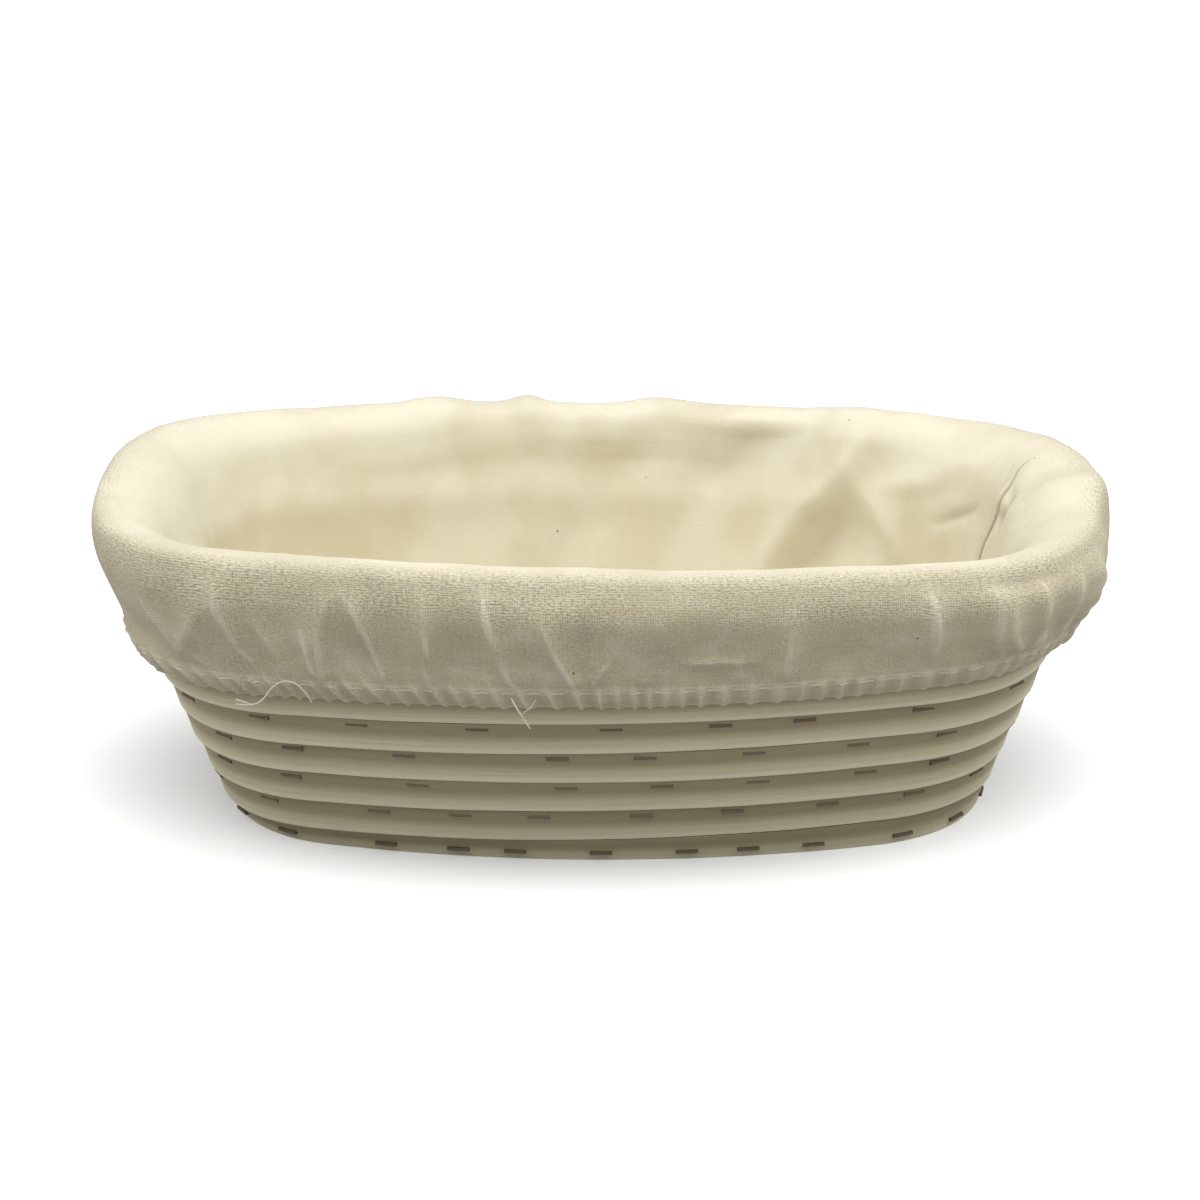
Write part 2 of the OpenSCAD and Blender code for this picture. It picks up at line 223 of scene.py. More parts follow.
def rounded_outline(corners):
    """Closed outline with rounded corners, each given as a place, a rounding's reach and its steps."""
    outline = []
    for index, (corner, reach, steps) in enumerate(corners):
        corner = np.array(corner, dtype=float)
        before = np.array(corners[index - 1][0]) - corner
        after = np.array(corners[(index + 1) % len(corners)][0]) - corner
        start = corner + before * min(0.5, reach / np.linalg.norm(before))
        end = corner + after * min(0.5, reach / np.linalg.norm(after))
        for share in np.linspace(0, 1, steps):
            outline.append((1 - share) ** 2 * start + 2 * share * (1 - share) * corner + share ** 2 * end)
    return np.array(outline)


def rounded_box(wide, high, reach, steps):
    corners = ((0, 0), (wide, 0), (wide, high), (0, high))
    return rounded_outline([(corner, reach, steps) for corner in corners])


def smooth_noise(points, wave, seed):
    """Even noise from -1 to 1 at points in millimetres, with a given wave length."""
    shift = Vector((17.3 * seed, 5.9 * seed, 31.7 * seed))
    return np.array([noise.noise(Vector(point) / wave + shift) for point in points])


# Cane winding

COURSE_H = COURSE_RISE - COURSE_GAP
INNER_CORNERS = [
    ((1.6 - CANE_T, COURSE_H), 1.8, 4), ((-CANE_T, COURSE_H / 2), 2.5, 3), ((1.4 - CANE_T, 0), 1.6, 4)]
RIM_OUTLINE = rounded_outline([
    ((0, 0), 0.5, 5), ((0.3, 0.52 * COURSE_H), 3.4, 9), ((-1.1, COURSE_H), 1.1, 5)] + INNER_CORNERS)
WALL_OUTLINE = rounded_outline([
    ((0, 0), 0.25, 5), ((1.2, 0.5 * COURSE_H), 4.1, 9), ((2.85, COURSE_H + 0.4), 0.3, 5)] + INNER_CORNERS)
CANE_COLUMNS = 150
FLOOR_OUTLINE = rounded_outline([
    ((0, 0), 0.18, 4), ((0, 1), 0.18, 4), ((1, 1), 0.18, 4), ((1, 0), 0.18, 4)])


# Unevenness of the wound cane: size and waves in a turn
CANE_WAVES = [(0.10, 2.63), (0.07, 7.17), (0.05, 15.4)]
CANE_SAG = (0.09, 3.37)


def outline_run(outline, across):
    """Index of each outline point, and how far round the outline it lies."""
    count = len(outline)
    index = np.rint(across * count).astype(int)
    steps = np.linalg.norm(np.roll(outline, -1, axis=0) - outline, axis=1)
    return index % count, np.concatenate([[0], np.cumsum(steps)])[index]


def wall_cane(start, end):
    """Place function for the wall's cane between two turns, a bit uneven and leaning out below the rim."""
    def place(along, across):
        turn = start + (end - start) * along
        index, run = outline_run(WALL_OUTLINE, across)
        lean = np.clip(RIM_TURN - turn, 0, 1)[:, None]
        outline = RIM_OUTLINE[index] + lean * (WALL_OUTLINE - RIM_OUTLINE)[index]
        low = np.maximum(0, COURSE_RISE * (turn - 1))
        high = np.where(turn <= TAIL_TURN, COURSE_RISE * turn - COURSE_GAP, rim_height(turn - RIM_TURN))
        thin = np.maximum(0, (turn - TAIL_TURN) / TAIL_SHARE)
        wave = sum(size * np.sin(TAU * rate * turn) for size, rate in CANE_WAVES)
        offset = outer_offset(turn) - COURSE_STEP * thin + outline[:, 0] + wave
        rise = outline[:, 1] / COURSE_H
        sag = CANE_SAG[0] * np.sin(TAU * CANE_SAG[1] * turn) * (low > 0.5)
        z = low + rise * (high - low) + sag
        points = oval_points(normal_angle(turn), offset, corner_fullness(turn), np.maximum(z, 0))
        return points, beside(turn * TURN_LEN, run), 0 * turn
    return place


def floor_cane(along, across):
    """Place function for the floor's flat spiral, which starts as a sliver and ends inside the wall."""
    turn = BASE_START + (BASE_END - BASE_START) * along
    index, run = outline_run(FLOOR_OUTLINE, across)
    outer = np.minimum(outer_offset(turn), outer_offset(turn + 1) - FLAT_PITCH)
    inner = np.maximum(COURSE_GAP, outer_offset(turn - 1) + COURSE_GAP)
    offset = outer - FLOOR_OUTLINE[index, 0] * (outer - inner)
    z = FLOOR_Z + FLOOR_OUTLINE[index, 1] * FLOOR_CANE_H
    points = oval_points(normal_angle(turn), offset, 0 * turn, z)
    return points, beside(turn * TURN_LEN, run * CANE_T), 0 * turn


def make_cane(name, place, turns, outline, material):
    shape = bent_grid(round(turns * CANE_COLUMNS), len(outline), place, caps=True)
    piece = finish_mesh(shape, name, material)
    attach(piece, "basket")
    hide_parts(name)


# Liner side panel, one cloth from the floor's seam up the inside, over the rim and down to the turned hem

LINER_FLOOR_TOP = FLOOR_TOP + CLOTH_CLEAR + 0.8
FLOOR_OFFSET = float(inside_offset(FLOOR_TOP + CLOTH_CLEAR))
GIRTH = TURN_LEN * 1.18
INSIDE_ROWS = 36
OUTSIDE_ROWS = 28
INSIDE_KNOTS = 4
PANEL_COLUMNS = 288
FRONT_CROWD = 0.46

# Puffs on the rim, slack inside both ends and tight parts of the skirt: share of a turn, width and size
CREST_PUFFS = [
    (0.035, 0.032, 1.5), (0.004, 0.017, 2.2), (0.13, 0.022, 1.3), (0.226, 0.013, 1.4), (0.285, 0.008, 1.7),
    (0.327, 0.014, 1.4), (0.45, 0.03, 0.6), (0.60, 0.03, -0.2), (0.83, 0.03, 0.5)]
END_SLACK = [(0.015, 0.075, 9.0), (0.495, 0.085, 6.0)]
TIGHT_SKIRT = [(0.525, 0.07, 1.5), (0.655, 0.045, 0.9), (0.85, 0.04, 0.6)]


def cyclic_bump(share, middle, wide):
    """Smooth bump round a share of a turn."""
    return np.exp(-(((share - middle + 0.5) % 1 - 0.5) / wide) ** 2)


def bumps(share, places):
    """Sum of bumps, each given as its place, width and size."""
    return sum(size * cyclic_bump(share, middle, wide) for middle, wide, size in places)


def panel_path(share):
    """Knots of the panel's path at each share of a turn: offset, height and where its fullness is taken."""
    angle = normal_angle(share)
    top = rim_height(share) + CLOTH_CLEAR
    rim = outer_offset(top / COURSE_RISE)
    low = hem_height(angle)
    band = low + CASING_H
    hem = outside_offset(band)
    drop = top - 2 - band
    upper = top - 2 - 0.3 * drop
    lower = top - 2 - 0.76 * drop
    puff = bumps(share, CREST_PUFFS)
    slack = bumps(share, END_SLACK)
    tight = bumps(share, TIGHT_SKIRT)
    knots = [
        (FLOOR_OFFSET - 1.0, LINER_FLOOR_TOP + 0.1, 0),
        (inside_offset(LINER_FLOOR_TOP + 5) - 1.4, LINER_FLOOR_TOP + 5, 0),
        (inside_offset(0.55 * top) - 2.4 - 0.6 * slack, 0.55 * top, 0),
        (inside_offset(top - 10) - 2.7 - slack, top - 10 - 0.45 * slack + 0.3 * puff, 0),
        (inside_offset(top - 2.6) - 2.3 - 0.75 * slack, top - 2.6 - 0.45 * slack + 0.7 * puff, 0),
        (rim - CANE_T + 0.9 - 0.5 * slack, top + 0.6 - 0.24 * slack + puff, 0.1),
        (rim - 1.7 + 0.6 * puff, top + 0.8 + puff, 0.4),
        (rim + RIM_EASE + 0.9 * puff, top - 2.2 + 0.7 * puff, 0.7),
        (outside_offset(upper) + SKIRT_SWELL - 0.1 - tight, upper, 1),
        (hem + HEM_T + 1.7 - 0.5 * tight, lower, 1),
        (hem + HEM_T - 0.3, band, 1),
        (outside_offset(low + 2.8) + HEM_T, low + 2.8, 1),
        (outside_offset(low + 0.7) + HEM_T - 0.7, low + 0.7, 1),
        (outside_offset(low) + 1.5, low - 0.1, 1),
        (outside_offset(low + 0.8) + 0.6, low + 0.8, 1),
        (outside_offset(band - 0.6) + 0.3, band - 0.6, 1)]
    return np.array([[part + 0 * share for part in knot] for knot in knots])


def spline(knots, place):
    """Points and directions on smooth curves through knots, one per column, at places counted in knots."""
    last = len(knots) - 1
    index = np.clip(np.floor(place).astype(int), 0, last - 1)
    share = place - index
    column = np.arange(len(place))
    before, start, end, after = (
        knots[np.clip(index + step, 0, last), :, column] for step in (-1, 0, 1, 2))
    share = share[:, None]
    leave, arrive = (end - before) / 2, (after - start) / 2
    point = ((2 * share ** 3 - 3 * share ** 2 + 1) * start + (share ** 3 - 2 * share ** 2 + share) * leave
             + (3 * share ** 2 - 2 * share ** 3) * end + (share ** 3 - share ** 2) * arrive)
    slope = ((6 * share ** 2 - 6 * share) * (start - end) + (3 * share ** 2 - 4 * share + 1) * leave
             + (3 * share ** 2 - 2 * share) * arrive)
    return point, slope


def panel_rows():
    """Shares across the panel and the knots they fall on, with even rows inside and even rows outside."""
    knots = panel_path(np.array([0.75]))[:, :2, 0]
    steps = np.linalg.norm(np.diff(knots, axis=0), axis=1)
    run = np.concatenate([[0], np.cumsum(steps)])
    edge = INSIDE_ROWS / (INSIDE_ROWS + OUTSIDE_ROWS)
    inner = run[:INSIDE_KNOTS + 1] / run[INSIDE_KNOTS] * edge
    outer = edge + (run[INSIDE_KNOTS:] - run[INSIDE_KNOTS]) / (run[-1] - run[INSIDE_KNOTS]) * (1 - edge)
    return np.concatenate([inner, outer[1:]]), run


ROW_SHARES, ROW_RUN = panel_rows()

# Folds inside the liner: places as shares of a turn and heights, then how high and how wide each fold is.
# Their ridges are painted lighter and their hollows darker, as painted light and shade.
INSIDE_FOLDS = [
    ([(0.128, 82), (0.134, 74), (0.141, 68), (0.155, 60), (0.172, 47), (0.184, 34)], 5.5, 5.5),
    ([(0.137, 70), (0.118, 58), (0.106, 51)], 2.2, 4.0),
    ([(0.129, 60), (0.142, 52), (0.157, 43), (0.166, 30)], -2.4, 5.0),
    ([(0.170, 81), (0.190, 71), (0.212, 59)], -4.2, 8.0),
    ([(0.118, 66), (0.097, 68), (0.077, 76)], 2.0, 3.6),
    ([(0.089, 59), (0.064, 65.5)], -1.5, 1.5),
    ([(0.0390, 74.5), (0.022, 71.5)], -2.0, 1.8),
    ([(0.0360, 69.6), (0.020, 69)], -2.0, 1.7),
    # Shallow hollow beside the side seam's free edge, there mostly for the painted shadow it gives
    ([(0.045, 79), (0.0435, 76), (0.0385, 70), (0.038, 62), (0.0392, 46)], -0.7, 1.7),
    ([(0.045, 71), (0.002, 75)], 1.4, 3.0),
    ([(0.030, 60), (0.990, 68)], 1.6, 5.0),
    ([(0.360, 71), (0.302, 75), (0.228, 75), (0.200, 73.5)], 0.8, 2.6),
    ([(0.300, 72), (0.228, 72), (0.196, 71)], -0.5, 2.6),
    ([(0.234, 74), (0.272, 52), (0.290, 36)], -2.6, 9.0),
    ([(0.390, 80), (0.371, 66), (0.366, 48)], 1.2, 5.5),
    ([(0.425, 78), (0.440, 62), (0.442, 40)], 1.3, 6.0),
    ([(0.470, 74), (0.500, 64), (0.528, 62)], 1.0, 4.5),
    ([(0.600, 76), (0.620, 58), (0.622, 36)], 1.4, 5.0),
    ([(0.700, 72), (0.740, 66), (0.800, 70)], 0.9, 3.0),
    ([(0.830, 76), (0.812, 55), (0.808, 34)], 1.3, 5.0),
    ([(0.905, 78), (0.925, 60), (0.928, 38)], 1.4, 5.0)]

# Creases on the skirt, each as its places only; each crease's ridge is also painted lighter, as a painted
# highlight
SKIRT_CREASES = [
    [(0.575, 70), (0.584, 59)],
    [(0.598, 72), (0.590, 64), (0.583, 57)],
    [(0.604, 79), (0.605, 72), (0.608, 62), (0.611, 58)],
    [(0.616, 69), (0.620, 63), (0.623, 55)],
    [(0.633, 69), (0.6355, 58), (0.639, 53)],
    [(0.644, 76), (0.640, 68), (0.6385, 59), (0.640, 53)],
    [(0.654, 76), (0.659, 68), (0.663, 59), (0.665, 54)],
    [(0.683, 76), (0.683, 65), (0.682, 54)],
    [(0.7055, 81), (0.7075, 73), (0.711, 64), (0.715, 56), (0.720, 52)],
    [(0.729, 72), (0.736, 61), (0.7415, 54)],
    [(0.755, 62), (0.747, 55)],
    [(0.7845, 61.3), (0.798, 61.3), (0.8135, 61.5)],
    [(0.8262, 69), (0.8254, 62), (0.8240, 55)],
    [(0.881, 76), (0.884, 60)],
    [(0.902, 75), (0.903, 65), (0.9085, 57)],
    [(0.907, 71), (0.9085, 64), (0.915, 59)],
    [(0.918, 75), (0.922, 58)],
    [(0.935, 74), (0.935, 60)],
    [(0.951, 74), (0.946, 60)]]
# Pocket's ledge on the skirt, a fold that also paints shade below it
SKIRT_POCKET = ([(0.900, 76.5), (0.925, 76.5)], -0.9, 1.4)


def fold_heights(share, height, folds):
    """Height that a list of folds adds at each place, and how sharply each place is creased."""
    total = np.zeros_like(share)
    sharp = np.zeros_like(share)
    for line, high, wide in folds:
        line = np.array(line) * [GIRTH, 1]
        lengths = np.linalg.norm(np.diff(line, axis=0), axis=1)
        starts = np.concatenate([[0], np.cumsum(lengths)])
        nearest = np.full(share.shape, np.inf)
        along = np.zeros_like(share)
        middle = line[:, 0].mean()
        around = (share * GIRTH - middle + GIRTH / 2) % GIRTH + middle - GIRTH / 2
        flat = beside(around, height)
        for start, end, length, run in zip(line[:-1], line[1:], lengths, starts):
            part = np.clip((flat - start) @ (end - start) / length ** 2, 0, 1)
            distance = np.linalg.norm(flat - start - part[:, None] * (end - start), axis=1)
            closer = distance < nearest
            nearest = np.where(closer, distance, nearest)
            along = np.where(closer, (run + part * length) / starts[-1], along)
        fade = np.sin(math.pi * np.clip(0.12 + 0.76 * along, 0, 1)) ** 0.7
        away = np.hypot(nearest / wide, 0.3) - 0.3
        bump = np.exp(-1.2 * away ** 1.3) * fade
        total += high * bump
        sharp += bump * high / wide
    return total, sharp


# Lean of the hem's pleats and creases at the front left: share of a turn for each millimetre of height
HEM_LEAN = 0.0012
HEM_LEAN_PLACE = (0.62, 0.11)

# Unevenness of the pleats and folds: size, waves in a turn and start
PLEAT_WANDER = [(0.35, 3, 0.2), (0.3, 7, 0.6), (0.22, 13, 0)]

# Places on the panel's path, counted in knots: changes from part to part, then single lines
INSIDE_END = (3.6, 4.6)
CREST_START = (3.6, 4.8)
CREST_END = (6.4, 7.4)
SKIRT_START = (6.6, 7.6)
BAND_START = (9.3, 10)
HEM_TURNED = (12.4, 13.6)
BAND_EDGE = 9.95
HEM_FOLD = 12.6
STITCH_ROW = 10.15


def skirt_pulls():
    """Short slack creases that rise from the gathered hem, leaning back at the front left."""
    draw = random.Random(5)
    creases = []
    for index in range(PLEAT_COUNT):
        share = (index + draw.uniform(-0.3, 0.3)) / PLEAT_COUNT
        angle = float(normal_angle(np.array([share % 1]))[0])
        low = float(hem_height(angle)) + CASING_H
        lean = -HEM_LEAN * float(cyclic_bump(share, *HEM_LEAN_PLACE)) + draw.uniform(-0.0003, 0.0003)
        reach = draw.uniform(2, 9)
        line = [(share, low - 0.5), (share + lean * reach, low + reach)]
        creases.append((line, draw.uniform(0.2, 0.6), draw.uniform(0.7, 1.2)))
    return creases


def fade_between(value, start, end):
    """Smooth step from 0 at start to 1 at end."""
    share = np.clip((value - start) / (end - start), 0, 1)
    return share * share * (3 - 2 * share)


def panel_relief(share, knot, base, points):
    """How far the cloth stands off its plain path, and the light and shade painted on it: lighter creases,
    ridges and fold edges, darker hollows and pockets.
    """
    height = base[:, 1]
    inside = 1 - fade_between(knot, *INSIDE_END)
    crest = fade_between(knot, *CREST_START) * (1 - fade_between(knot, *CREST_END))
    skirt = fade_between(knot, *SKIRT_START)
    angle = normal_angle(share % 1)
    band = hem_height(angle) + CASING_H
    above = height - band

    broad = smooth_noise(points, 46, 1)
    fine = smooth_noise(points, 15, 2)
    small = smooth_noise(points, 6, 3)
    folds, fold_sharp = fold_heights(share, height, INSIDE_FOLDS)
    rise = inside * fade_between(height, LINER_FLOOR_TOP, LINER_FLOOR_TOP + 12) * (
        folds + 1.3 * broad + 0.55 * fine + 0.12 * small)
    rise += crest * (0.55 * broad + 0.35 * fine + 0.1 * small)

    lines = [(line, 0.7 + 0.5 * (0.37 * index % 1), 0.45 + 0.35 * (0.61 * index % 1))
             for index, line in enumerate(SKIRT_CREASES)]
    creases, crease_sharp = fold_heights(share, height, lines + [SKIRT_POCKET] + skirt_pulls())
    soft = [(line, (1.2 if line[0][1] - line[-1][1] > 3 else 0.4) + 0.4 * (line[0][0] > 0.87), 2.8)
            for line in SKIRT_CREASES]
    creases += fold_heights(share, height, soft)[0]
    turned = fade_between(knot, *HEM_TURNED)
    in_band = fade_between(knot, *BAND_START)
    wander = sum(size * np.sin(TAU * (rate * share + shift)) for size, rate, shift in PLEAT_WANDER)
    lean = HEM_LEAN * cyclic_bump(share, *HEM_LEAN_PLACE) * np.clip(above, -CASING_H, 8)
    pleat = 1 - 2 * np.abs(np.sin(math.pi * (PLEAT_COUNT * (share + lean) + 1.5 * wander))) ** 0.8
    pleat *= 0.85 + 0.15 * np.sin(TAU * (29 * share + wander))
    pleat_high = skirt * (0.65 * in_band + 0.3 * (1 - in_band) * np.exp(-np.maximum(above, 0) / 2.5))
    fold = FOLD_DEPTH * (np.cos(TAU * FOLD_COUNT * share + wander) - 0.2) / 2
    fold_fade = fade_between(above, 0, 6) * (1 - fade_between(above, 8, 26))
    past_edge = knot - BAND_EDGE - 0.06 * pleat
    rise += skirt * (1 - turned) * (
        0.6 * broad * (1 - 0.6 * in_band) + 0.25 * fine + 0.05 * small + fold * fold_fade
        + creases * (1 - in_band) + np.where(pleat > 0, pleat, 0.5 * pleat) * pleat_high
        + 0.25 * np.exp(-(past_edge / 0.16) ** 2))
    # Painted light and shade: skirt creases, ridges of inside folds, the casing's pleat ridges and the edges
    # of the band and of the hem's turn are painted lighter; hollows, pleat pockets and the skirt's pocket
    # are painted darker. The crease highlight is made uneven.
    wear_and_highlight = np.clip(0.75 + 0.9 * smooth_noise(points, 7, 6), 0.2, 1)
    painted_light_shade = skirt * (1 - in_band) * np.clip(crease_sharp, -0.3, 1) * wear_and_highlight
    painted_light_shade += inside * (0.3 * np.clip(fold_sharp, 0, 1) + 0.45 * np.clip(fold_sharp, -1, 0))
    painted_light_shade += skirt * in_band * np.where(pleat > 0, 1.0, 0.3) * pleat
    painted_light_shade += skirt * 0.8 * np.exp(-(past_edge / 0.14) ** 2)
    painted_light_shade += skirt * 0.5 * np.exp(-((knot - HEM_FOLD) / 0.4) ** 2)
    return rise, np.clip(painted_light_shade, -1, 1)


def panel_points(share, knot):
    """Points, map places and painted light and shade of the side panel, at shares of a turn and places
    counted in knots.
    """
    base, slope = spline(panel_path(share), knot)
    angle = normal_angle(share)
    facing = unit(beside(-slope[:, 1], slope[:, 0]))

    def at(offset, z):
        full = corner_fullness(z / COURSE_RISE + base[:, 2])
        return oval_points(angle, offset, full, z)

    flat = at(base[:, 0], base[:, 1])
    rise, painted_light = panel_relief(share, knot, base, flat)
    points = at(base[:, 0] + rise * facing[:, 0], base[:, 1] + rise * facing[:, 1])
    run = np.interp(knot, np.arange(len(ROW_RUN)), ROW_RUN)
    return points, beside(share * GIRTH, run), painted_light


def panel_place(along, across):
    """Place function for the side panel, whose columns lie closer together at the front."""
    share = along + FRONT_CROWD / TAU * np.sin(TAU * (along - 0.25))
    return panel_points(share, np.interp(across, ROW_SHARES, np.arange(len(ROW_SHARES))))


def panel_spots(shares, knots):
    """Points on the finished panel's face, at shares of a turn and places counted in knots."""
    shares = np.asarray(shares, dtype=float)
    return panel_points(shares, knots + 0 * shares)[0]


def thicken(panel):
    thickness = panel.modifiers.new("Cloth thickness", "SOLIDIFY")
    thickness.thickness = CLOTH_T * MM
    thickness.offset = -1


def make_side_panel(material):
    """Cloth of the wall and the skirt, with a finer mesh outside and where the deepest folds are inside."""
    rows = INSIDE_ROWS + OUTSIDE_ROWS
    shape = bent_grid(
        PANEL_COLUMNS, rows, panel_place, fine_from=INSIDE_ROWS / rows, fine_part=(0.06, 0.2), flip=True)
    panel = finish_mesh(shape, "liner_side_panel", material)
    thicken(panel)
    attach(panel, "liner")
    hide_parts("liner_wall", "liner_skirt")


def make_floor_panel(material):
    """Oval bottom panel, slightly uneven, from its middle out to the seam."""
    def place(along, across):
        z = LINER_FLOOR_TOP - 0.1 + 0 * along
        rim = oval_points(normal_angle(along), FLOOR_OFFSET - 0.6 + 0 * along, 0 * along, z)
        points = rim * beside(across, across, np.ones_like(across))
        dome = (1 - across ** 4) * (0.25 + 0.35 * smooth_noise(points, 30, 4))
        points[:, 2] += dome
        return points, points[:, :2] + [200, -100], 0 * along
    shape = bent_grid(160, 30, place, flip=True)
    panel = finish_mesh(shape, "liner_floor_panel", material, face_out=True)
    thicken(panel)
    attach(panel, "liner")
    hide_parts("liner_floor")


def tube_place(route, radius, taper):
    """Place function for a round tube along a route of points, thinner at its ends by a share."""
    route = np.array(route, dtype=float)
    steps = np.linalg.norm(np.diff(route, axis=0), axis=1)
    run = np.concatenate([[0], np.cumsum(steps)])

    def on_route(at):
        return beside(*(np.interp(at, run, route[:, axis]) for axis in range(3)))

    def place(along, across):
        at = along * run[-1]
        middle = on_route(at)
        way = unit(on_route(np.minimum(at + 0.4, run[-1])) - on_route(np.maximum(at - 0.4, 0)))
        side = unit(np.cross(way, [0.31, 0.17, 0.94]))
        up = np.cross(side, way)
        size = radius * (1 - taper * np.abs(2 * along - 1) ** 6)
        turn = TAU * across
        points = middle + size[:, None] * (np.cos(turn)[:, None] * side + np.sin(turn)[:, None] * up)
        return points, beside(at, across * TAU * radius), 0 * along
    return place


def smooth_route(points, steps):
    """Route through a few points, with smooth bends."""
    knots = np.array(points, dtype=float)[:, :, None]
    place = np.linspace(0, len(points) - 1, steps)
    return spline(np.repeat(knots, steps, axis=2), place)[0]


def join_shapes(shapes):
    """One bmesh from several."""
    whole = bmesh.new()
    for shape in shapes:
        part = bpy.data.meshes.new("part")
        shape.to_mesh(part)
        shape.free()
        whole.from_mesh(part)
        bpy.data.meshes.remove(part)
    return whole


# How far a stitch stands off the cloth from end to end
STITCH_ARCH = np.array([-0.3, 0.0, 0.1, 0.12, 0.1, 0.0, -0.3])

# Loose thread ends on the front, as points in millimetres
ARCHED_THREAD = [(-87.0, -58.4, 46.0), (-83.0, -60.2, 46.5), (-80.4, -61.0, 48.0), (-78.0, -61.7, 51.2),
                 (-75.2, -62.3, 53.2), (-72.0, -62.9, 52.8), (-69.6, -63.2, 50.4), (-68.3, -63.0, 48.0)]
FRAYED_END = [(-83.4, -60.1, 46.5), (-85.2, -59.5, 47.1), (-87.0, -58.8, 47.3)]
STRAIGHT_THREAD = [(-20.4, -70.9, 52.0), (-19.0, -71.6, 49.6), (-17.4, -71.4, 46.8), (-16.0, -70.8, 44.2)]
FORKED_END = [(-17.8, -71.5, 48.2), (-15.6, -71.3, 50.0), (-14.6, -71.0, 51.6)]
LOOSE_THREADS = [(ARCHED_THREAD, 0.22), (FRAYED_END, 0.16), (STRAIGHT_THREAD, 0.22), (FORKED_END, 0.12)]


def make_stitching(material):
    """Row of stitches that closes the casing, with two loose threads and their frayed ends."""
    shapes = []
    span = STITCH_SHARE / STITCH_COUNT
    for index in range(STITCH_COUNT):
        shares = (index + 0.5) / STITCH_COUNT + np.linspace(-0.5, 0.5, len(STITCH_ARCH)) * span
        route = panel_spots(shares % 1, STITCH_ROW)
        route = route + unit(route * [1, 1, 0]) * STITCH_ARCH[:, None]
        shapes.append(bent_grid(6, 6, tube_place(route, STITCH_T / 2, 0.3), caps=True))
    for loose, radius in LOOSE_THREADS:
        shapes.append(bent_grid(40, 8, tube_place(smooth_route(loose, 60), radius, 0.4), caps=True))
    whole = join_shapes(shapes)
    piece = finish_mesh(whole, "hem_thread", material, face_out=True)
    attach(piece, "liner")
    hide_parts("hem_stitching")


def make_elastic(material):
    """Flat elastic in the hem's casing, with fine ribs along its edges."""
    outline = rounded_box(ELASTIC_T, ELASTIC_W, 0.25, 3)

    def place(along, across):
        angle = normal_angle(along)
        index, run = outline_run(outline, across)
        low = hem_height(angle)
        rib = 0.05 * np.sin(TAU * ELASTIC_RIBS * along)
        z = low + 1.3 + outline[index, 1]
        offset = outside_offset(z) + 1.0 + outline[index, 0] * (1 + rib)
        full = corner_fullness(z / COURSE_RISE + 1)
        return oval_points(angle, offset, full, z), beside(along * GIRTH, run), 0 * along
    shape = bent_grid(4 * ELASTIC_RIBS, len(outline), place)
    piece = finish_mesh(shape, "hem_elastic_band", material, face_out=True)
    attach(piece, "liner")
    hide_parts("hem_elastic")


def make_side_seam(material):
    """Folded allowance of the side panel's seam, on the inside with its free edge to the right."""
    outline = rounded_outline([
        ((-0.62, -0.15), 0.05, 3), ((-0.3, 0.4), 0.25, 4), ((0.3, 0.95), 0.2, 4), ((0.5, 0.8), 0.12, 3),
        ((0.48, -0.15), 0.1, 3), ((-0.2, -0.25), 0.1, 3)])
    seam_share = float(np.interp(SIDE_SEAM_ANGLE, TURN_ANGLES, TURN_SHARES))

    def place(along, across):
        index, run = outline_run(outline, across)
        knot = 0.35 + along * 4.75
        wave = 0.0012 * np.sin(TAU * 1.3 * along) + 0.0004 * np.sin(TAU * 4.7 * along)
        narrow = 1 - 0.8 * fade_between(along, 0.86, 1)
        shift = 0.0085 + 0.006 * (1 - fade_between(along, 0.5, 0.9))
        share = seam_share - shift - (0.5 + (outline[index, 0] - 0.5) * narrow) * SEAM_W / GIRTH + wave
        base, slope = spline(panel_path(share), knot)
        offset, height = base[:, 0], base[:, 1]
        flat = oval_points(normal_angle(share), offset, corner_fullness(height / COURSE_RISE), height)
        rise = panel_relief(share, knot, base, flat)[0]
        lift = 0.3 + 0.7 * np.exp(-((along - 0.62) / 0.13) ** 2) + 0.4 * np.exp(-((along - 0.3) / 0.1) ** 2)
        stand = rise + outline[index, 1] * lift * (1 - fade_between(along, 0.85, 1))
        facing = unit(beside(-slope[:, 1], slope[:, 0]))
        z = height + stand * facing[:, 1]
        points = oval_points(
            normal_angle(share), offset + stand * facing[:, 0], corner_fullness(z / COURSE_RISE), z)
        # Painted shade on the face of the seam's free edge, weaker towards the top
        dark = np.where(outline[index, 0] > 0.38, -0.45, 0) * (1 - 0.7 * fade_between(along, 0.75, 1))
        return points, beside(run * SEAM_W, along * SEAM_LENGTH), dark
    shape = bent_grid(90, len(outline), place, caps=True)
    piece = finish_mesh(shape, "liner_side_seam", material, face_out=True)
    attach(piece, "liner")
    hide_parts("side_seam")


def make_floor_seam(material):
    """Overlocked seam between the bottom panel and the side panel."""
    outline = rounded_box(FLOOR_SEAM_T, FLOOR_SEAM_T, 0.3, 3)

    def place(along, across):
        index, run = outline_run(outline, across)
        loop = TAU * FLOOR_SEAM_LOOPS * along
        offset = FLOOR_OFFSET - 2.1 + outline[index, 0] + 0.16 * np.sin(loop)
        z = LINER_FLOOR_TOP - 0.05 + outline[index, 1] * (1 + 0.12 * np.sin(loop + 1))
        points = oval_points(normal_angle(along), offset, 0 * along, z)
        return points, beside(along * FLOOR_SEAM_LENGTH, run), 0 * along
    shape = bent_grid(6 * FLOOR_SEAM_LOOPS, len(outline), place)
    piece = finish_mesh(shape, "liner_floor_seam", material, face_out=True)
    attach(piece, "liner")
    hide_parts("floor_seam")


# Shader helpers

NOISE_ROUGHNESS = 0.55


